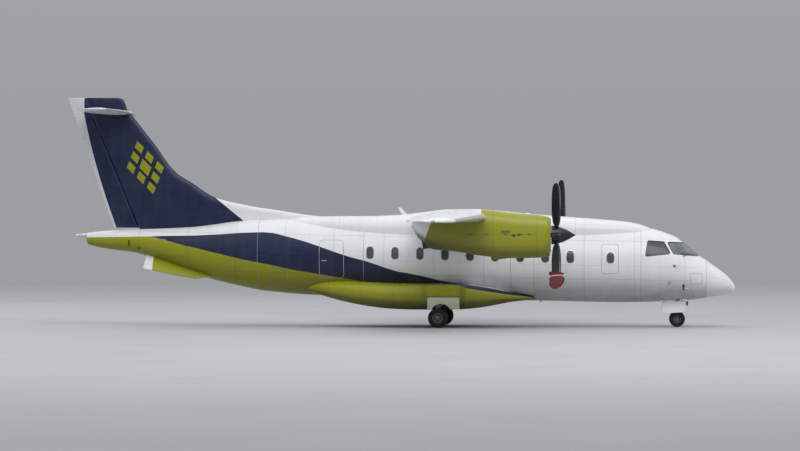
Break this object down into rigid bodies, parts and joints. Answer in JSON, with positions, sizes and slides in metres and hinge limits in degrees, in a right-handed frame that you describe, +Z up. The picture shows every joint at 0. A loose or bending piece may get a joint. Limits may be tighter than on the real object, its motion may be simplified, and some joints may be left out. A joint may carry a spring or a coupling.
{
  "type": "twin-turboprop regional airliner",
  "caption": "High-wing, T-tail regional airliner with two propellers, parked on twin-wheel landing gear, with turning propellers and wheels, doors and control surfaces.",
  "frame": {"origin": "on the ground, under the middle of the aircraft's box", "axes": "+X to the nose, +Y to port (left), +Z up"},
  "size_m": [21.11, 20.98, 7.24],
  "materials": {
    "white_skin": "gloss white paint",
    "white_composite": "gloss white paint on composite",
    "navy_composite": "gloss navy paint on composite",
    "lime_composite": "gloss lime paint on composite",
    "lime_skin": "gloss lime paint",
    "glazing": "dark tinted glass",
    "engine": "grey metal",
    "exhaust": "heat-stained steel",
    "propeller": "satin black composite",
    "gear_metal": "satin grey paint",
    "wheel_metal": "satin light grey paint",
    "tyre": "matt black rubber",
    "cream_panel": "satin pale paint"
  },
  "bodies": {
    "airframe": {"radome": "white_composite", "nose_fuselage": "white_skin", "forward_fuselage": "white_skin", "center_fuselage": "white_skin", "rear_fuselage": "navy_composite", "tail_cone": "lime_composite", "wing_fairing": "white_composite", "gear_fairing_left": "lime_composite", "gear_fairing_right": "lime_composite", "ventral_fin_left": "lime_composite", "ventral_fin_right": "lime_composite", "windshield": "glazing", "cockpit_side_window_left": "glazing", "cockpit_side_window_right": "glazing", "vertical_fin": "navy_composite", "fin_cap": "navy_composite", "tailplane": "white_composite", "wing_left": "white_skin", "wing_right": "white_skin", "nacelle_left": "lime_skin", "nacelle_right": "lime_skin", "engine_left": "engine", "engine_right": "engine", "exhaust_left": "exhaust", "exhaust_right": "exhaust", "nose_leg": "gear_metal", "nose_gear_door_left": "white_composite", "nose_gear_door_right": "white_composite", "main_leg_left": "gear_metal", "main_leg_right": "gear_metal", "main_gear_door_left": "cream_panel", "main_gear_door_right": "cream_panel"},
    "propeller_left": {"propeller_left": "propeller", "spinner_left": "propeller"},
    "propeller_right": {"propeller_right": "propeller", "spinner_right": "propeller"},
    "nose_steering": {"nose_fork": "gear_metal"},
    "nose_wheel_pair": {"nose_wheels": "wheel_metal", "nose_tyre_left": "tyre", "nose_tyre_right": "tyre"},
    "main_wheel_pair_left": {"main_wheels_left": "wheel_metal", "main_tyre_outer_left": "tyre", "main_tyre_inner_left": "tyre"},
    "main_wheel_pair_right": {"main_wheels_right": "wheel_metal", "main_tyre_outer_right": "tyre", "main_tyre_inner_right": "tyre"},
    "passenger_door": {"passenger_door": "white_skin"},
    "baggage_door": {"baggage_door": "navy_composite"},
    "service_door": {"service_door": "navy_composite"},
    "rudder": {"rudder": "navy_composite"},
    "elevator_left": {"elevator_left": "white_composite"},
    "elevator_right": {"elevator_right": "white_composite"},
    "aileron_left": {"aileron_left": "white_composite"},
    "aileron_right": {"aileron_right": "white_composite"},
    "inner_flap_left": {"inner_flap_left": "white_composite"},
    "inner_flap_right": {"inner_flap_right": "white_composite"},
    "outer_flap_left": {"outer_flap_left": "white_composite"},
    "outer_flap_right": {"outer_flap_right": "white_composite"}
  },
  "joints": [
    {"name": "propeller_spin_left", "type": "hinge", "parent": "airframe", "child": "propeller_left", "pos_m": [5.045, 4.05, 2.88], "axis": [1, 0, 0], "continuous": true},
    {"name": "propeller_spin_right", "type": "hinge", "parent": "airframe", "child": "propeller_right", "pos_m": [5.045, -4.05, 2.88], "axis": [1, 0, 0], "continuous": true},
    {"name": "nose_wheel_steering", "type": "hinge", "parent": "airframe", "child": "nose_steering", "pos_m": [8.735, 0, 0.5], "axis": [0, 0, 1], "range_deg": [-60, 60]},
    {"name": "nose_wheel_spin", "type": "hinge", "parent": "nose_steering", "child": "nose_wheel_pair", "pos_m": [8.735, 0, 0.2475], "axis": [0, 1, 0], "continuous": true},
    {"name": "main_wheel_spin_left", "type": "hinge", "parent": "airframe", "child": "main_wheel_pair_left", "pos_m": [1.315, 1.61, 0.305], "axis": [0, 1, 0], "continuous": true},
    {"name": "main_wheel_spin_right", "type": "hinge", "parent": "airframe", "child": "main_wheel_pair_right", "pos_m": [1.315, -1.61, 0.305], "axis": [0, 1, 0], "continuous": true},
    {"name": "passenger_door_hinge", "type": "hinge", "parent": "airframe", "child": "passenger_door", "pos_m": [6.755, 0.849, 1.12], "axis": [-1, 0, 0], "range_deg": [0, 125]},
    {"name": "baggage_door_hinge", "type": "hinge", "parent": "airframe", "child": "baggage_door", "pos_m": [-2.005, 0.992, 2.85], "axis": [1, 0, 0], "range_deg": [0, 95]},
    {"name": "service_door_hinge", "type": "hinge", "parent": "airframe", "child": "service_door", "pos_m": [-1.685, -1.213, 2.14], "axis": [0, 0, 1], "range_deg": [0, 110]},
    {"name": "rudder_hinge", "type": "hinge", "parent": "airframe", "child": "rudder", "pos_m": [-8.395, 0, 3.2], "axis": [-0.3781, 0, 0.9258], "range_deg": [-30, 30]},
    {"name": "elevator_hinge_left", "type": "hinge", "parent": "airframe", "child": "elevator_left", "pos_m": [-9.375, 1.7, 6.765], "axis": [0, 1, 0], "range_deg": [-15, 25]},
    {"name": "elevator_hinge_right", "type": "hinge", "parent": "airframe", "child": "elevator_right", "pos_m": [-9.375, -1.7, 6.765], "axis": [0, 1, 0], "range_deg": [-15, 25]},
    {"name": "aileron_hinge_left", "type": "hinge", "parent": "airframe", "child": "aileron_left", "pos_m": [1.265, 7.2, 3.3709], "axis": [0.006, 0.9996, -0.0267], "range_deg": [-20, 20]},
    {"name": "aileron_hinge_right", "type": "hinge", "parent": "airframe", "child": "aileron_right", "pos_m": [1.265, -7.2, 3.3709], "axis": [-0.006, 0.9996, 0.0267], "range_deg": [-20, 20]},
    {"name": "inner_flap_hinge_left", "type": "hinge", "parent": "airframe", "child": "inner_flap_left", "pos_m": [1.225, 2.27, 3.21], "axis": [0, -1, 0], "range_deg": [0, 32]},
    {"name": "inner_flap_hinge_right", "type": "hinge", "parent": "airframe", "child": "inner_flap_right", "pos_m": [1.225, -2.27, 3.21], "axis": [0, -1, 0], "range_deg": [0, 32]},
    {"name": "outer_flap_hinge_left", "type": "hinge", "parent": "airframe", "child": "outer_flap_left", "pos_m": [1.225, 5.825, 3.1686], "axis": [0, -0.9997, 0.0233], "range_deg": [0, 32]},
    {"name": "outer_flap_hinge_right", "type": "hinge", "parent": "airframe", "child": "outer_flap_right", "pos_m": [1.225, -5.825, 3.1686], "axis": [0, -0.9997, -0.0233], "range_deg": [0, 32]}
  ],
  "couplings": [
    {"joint": "elevator_hinge_right", "follows": "elevator_hinge_left", "ratio": 1},
    {"joint": "aileron_hinge_right", "follows": "aileron_hinge_left", "ratio": -1},
    {"joint": "inner_flap_hinge_right", "follows": "inner_flap_hinge_left", "ratio": 1},
    {"joint": "outer_flap_hinge_left", "follows": "inner_flap_hinge_left", "ratio": 1},
    {"joint": "outer_flap_hinge_right", "follows": "inner_flap_hinge_left", "ratio": 1}
  ]
}
